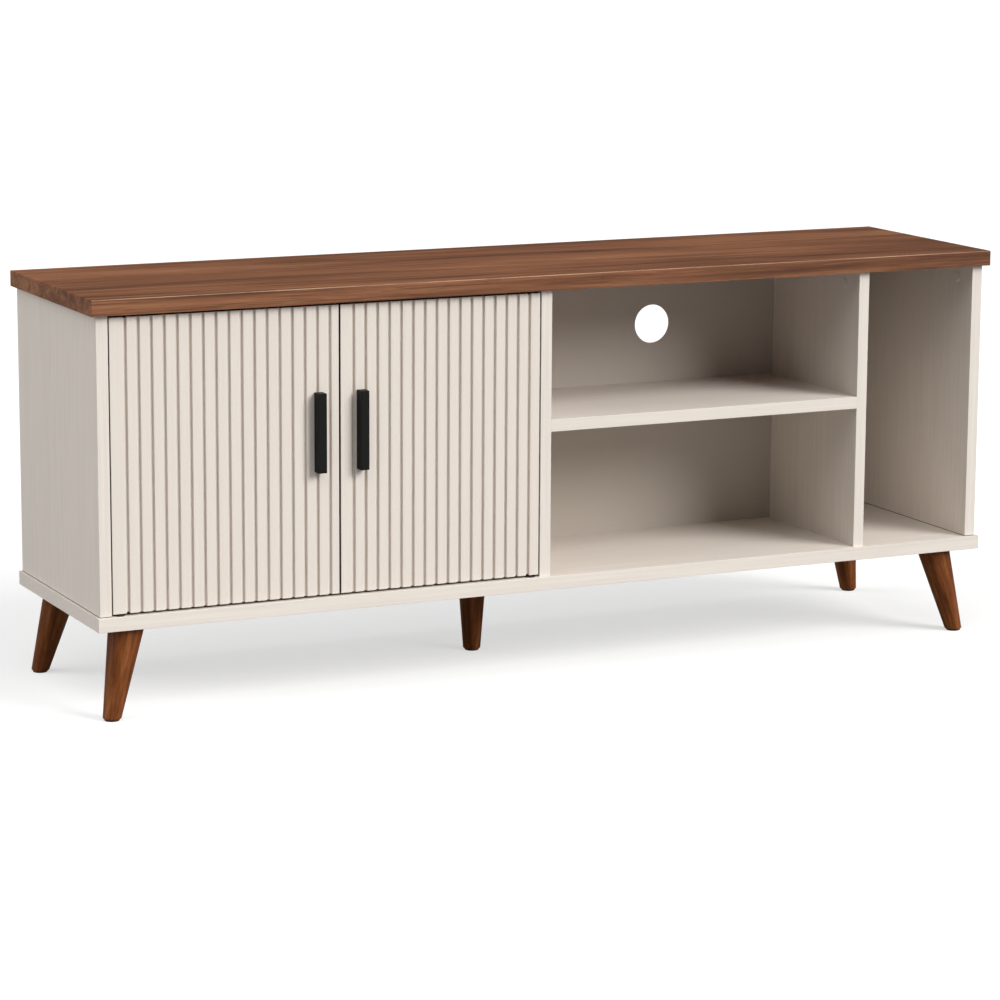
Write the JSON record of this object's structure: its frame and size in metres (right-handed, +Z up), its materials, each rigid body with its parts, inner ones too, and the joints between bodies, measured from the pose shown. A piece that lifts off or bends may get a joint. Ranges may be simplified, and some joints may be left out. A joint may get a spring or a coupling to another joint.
{
  "type": "television stand",
  "caption": "Low television stand: walnut-look top over a cream carcass with a fluted two-door cabinet, an open media bay with a shelf, a tall open bay and tapered splayed legs.",
  "frame": {"origin": "on the floor, at the centre of the stand's outline as seen from above, handles included", "axes": "+Z up, +X to the right as seen from the front, the doors face -Y"},
  "size_m": [1.6, 0.4014, 0.657],
  "materials": {
    "walnut_top": "walnut-look laminate, satin",
    "cream_board": "cream laminate with a faint grain, matt",
    "door_front": "painted fluted fibreboard, matt cream",
    "back_board": "thin fibreboard, cream face",
    "leg_wood": "stained beech, satin lacquer",
    "black_handle": "matt black powder coat",
    "zinc": "bright zinc plate",
    "cast_zinc": "die-cast zinc",
    "steel_strike": "nickel plate",
    "magnet": "sintered ferrite",
    "nylon": "natural nylon",
    "cover_plastic": "cream moulded caps",
    "dowel_wood": "fluted beech dowel",
    "glide_plastic": "dark nylon"
  },
  "bodies": {
    "carcass": {"top_board": "walnut_top", "bottom_board": "cream_board", "left_side_panel": "cream_board", "right_side_panel": "cream_board", "cabinet_divider": "cream_board", "tall_bay_divider": "cream_board", "media_shelf": "cream_board", "cabinet_shelf": "cream_board", "media_back_panel": "back_board", "cabinet_back_panel": "back_board", "tall_bay_back_panel": "back_board", "pivot_bushes": "nylon", "door_catch": "nylon", "catch_magnets": "magnet", "catch_screw": "zinc", "cam_locks": "cast_zinc", "cam_covers": "cover_plastic", "cam_bolts": "zinc", "dowels": "dowel_wood", "long_screws": "zinc", "screw_caps": "cover_plastic", "back_screws": "zinc", "shelf_pins": "zinc", "front_left_leg": "leg_wood", "front_right_leg": "leg_wood", "back_left_leg": "leg_wood", "back_right_leg": "leg_wood", "centre_leg": "leg_wood", "leg_bolts": "zinc", "leg_inserts": "zinc", "leg_glides": "glide_plastic"},
    "left_door": {"left_door": "door_front", "left_handle": "black_handle", "left_handle_screws": "zinc", "left_pivot_plates": "zinc", "left_pivot_screws": "zinc", "left_strike_plate": "steel_strike", "left_strike_screw": "zinc"},
    "right_door": {"right_door": "door_front", "right_handle": "black_handle", "right_handle_screws": "zinc", "right_pivot_plates": "zinc", "right_pivot_screws": "zinc", "right_strike_plate": "steel_strike", "right_strike_screw": "zinc"}
  },
  "joints": [
    {"name": "left_door_swing", "type": "hinge", "parent": "carcass", "child": "left_door", "pos_m": [-0.7568, -0.17725, 0.165], "axis": [0, 0, -1], "range_deg": [0, 105]},
    {"name": "right_door_swing", "type": "hinge", "parent": "carcass", "child": "right_door", "pos_m": [-0.0552, -0.17725, 0.165], "axis": [0, 0, 1], "range_deg": [0, 105]}
  ]
}
